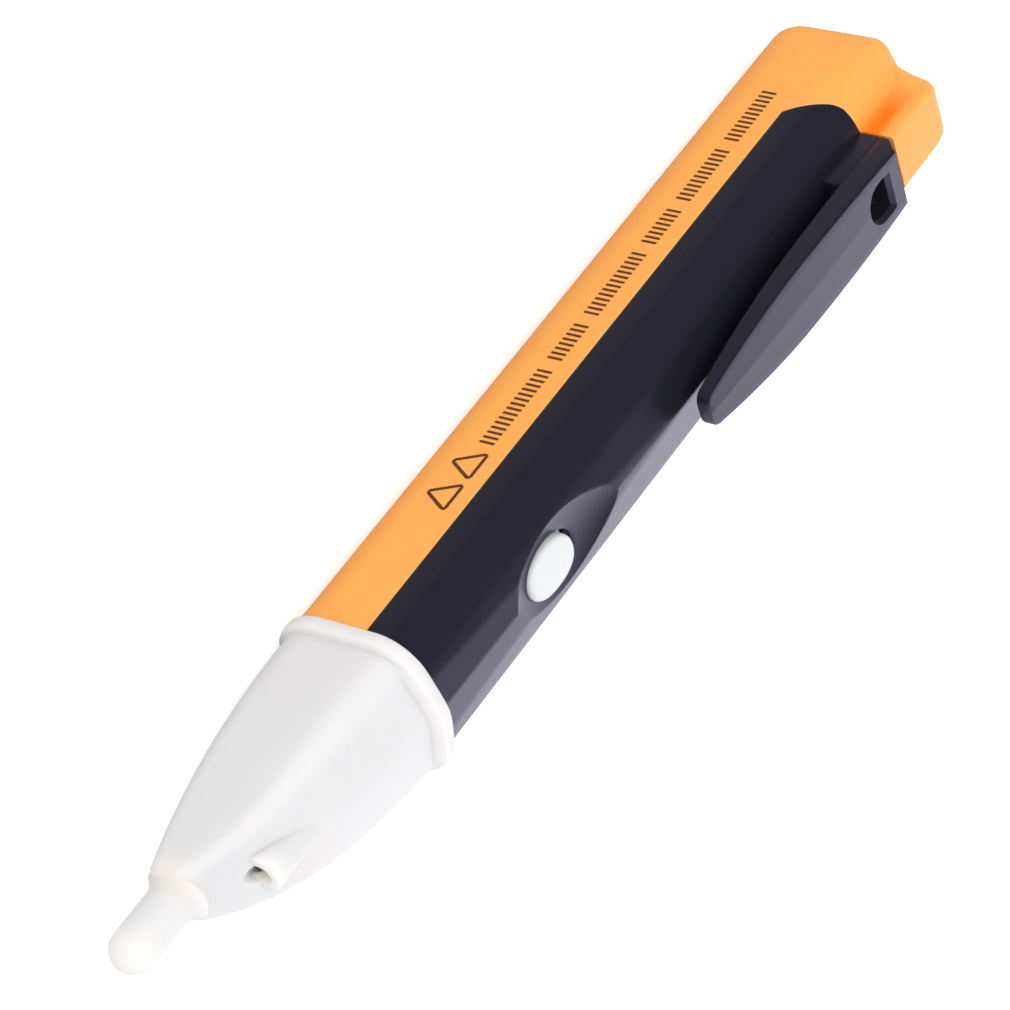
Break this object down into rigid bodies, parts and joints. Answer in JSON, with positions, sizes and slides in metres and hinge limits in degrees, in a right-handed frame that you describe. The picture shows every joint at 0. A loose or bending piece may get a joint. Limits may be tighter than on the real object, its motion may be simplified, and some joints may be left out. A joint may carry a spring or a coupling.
{
  "type": "non contact voltage tester",
  "caption": "Pen-shaped non contact voltage tester with a sensing finger, push button, torch, pocket clip and pull-off battery sleeve.",
  "frame": {"origin": "centre of the bottom of the bounding box, the tester lying on its flat back", "axes": "+X along the tester towards the sensing finger, +Z towards the button and clip, +Y across"},
  "size_m": [0.155, 0.0206, 0.0263],
  "materials": {
    "sleeve_yellow": "satin moulded ABS, fine spark texture",
    "housing_black": "semi-gloss moulded ABS",
    "nose_white": "translucent milky plastic, satin",
    "button_white": "soft satin plastic",
    "tray_black": "moulded ABS",
    "cell_jacket": "printed shrink film",
    "nickel_steel": "nickel plated",
    "brass": "rolled",
    "board_green": "solder mask over glass laminate",
    "component_black": "moulded epoxy",
    "ceramic_tan": "matt",
    "clear_lens": "clear epoxy",
    "red_lens": "clear tinted epoxy",
    "red_wire": "PVC insulation",
    "black_wire": "PVC insulation"
  },
  "bodies": {
    "handle": {"front_housing": "housing_black", "nose_lens": "nose_white", "battery_tray": "tray_black", "rear_cell_can": "nickel_steel", "rear_cell_jacket": "cell_jacket", "front_cell_can": "nickel_steel", "front_cell_jacket": "cell_jacket", "rear_contact": "nickel_steel", "front_contact": "nickel_steel", "contact_spring": "nickel_steel", "negative_wire": "black_wire", "positive_wire": "red_wire", "sensor_lead": "black_wire", "circuit_board": "board_green", "board_screw_left": "nickel_steel", "board_screw_right": "nickel_steel", "switch_body": "component_black", "buzzer_case": "component_black", "piezo_disc": "brass", "torch_led": "clear_lens", "torch_led_lead_left": "nickel_steel", "torch_led_lead_right": "nickel_steel", "alarm_led": "red_lens", "alarm_led_lead_left": "nickel_steel", "alarm_led_lead_right": "nickel_steel", "sensor_antenna": "brass", "controller_chip": "component_black", "amplifier_chip": "component_black", "sense_transistor": "component_black", "feedback_resistor": "component_black", "torch_resistor": "component_black", "alarm_resistor": "component_black", "supply_capacitor": "ceramic_tan", "filter_capacitor": "ceramic_tan"},
    "sleeve": {"rear_sleeve": "sleeve_yellow"},
    "clip": {"pocket_clip": "housing_black"},
    "button": {"button_cap": "button_white"},
    "plunger": {"switch_plunger": "button_white"}
  },
  "joints": [
    {"name": "sleeve_pull", "type": "slide", "parent": "handle", "child": "sleeve", "axis": [-1, 0, 0], "range_m": [0, 0.118]},
    {"name": "clip_flex", "type": "hinge", "parent": "handle", "child": "clip", "pos_m": [-0.0649, 0, 0.02305], "axis": [0, -1, 0], "range_deg": [0, 4], "stiffness_Nm_per_rad": 3},
    {"name": "button_press", "type": "slide", "parent": "handle", "child": "button", "axis": [0, 0, -1], "range_m": [0, 0.0006], "stiffness_N_per_m": 300},
    {"name": "plunger_press", "type": "slide", "parent": "handle", "child": "plunger", "axis": [0, 0, -1], "range_m": [0, 0.0006]}
  ],
  "couplings": [
    {"joint": "plunger_press", "follows": "button_press", "ratio": 1}
  ]
}
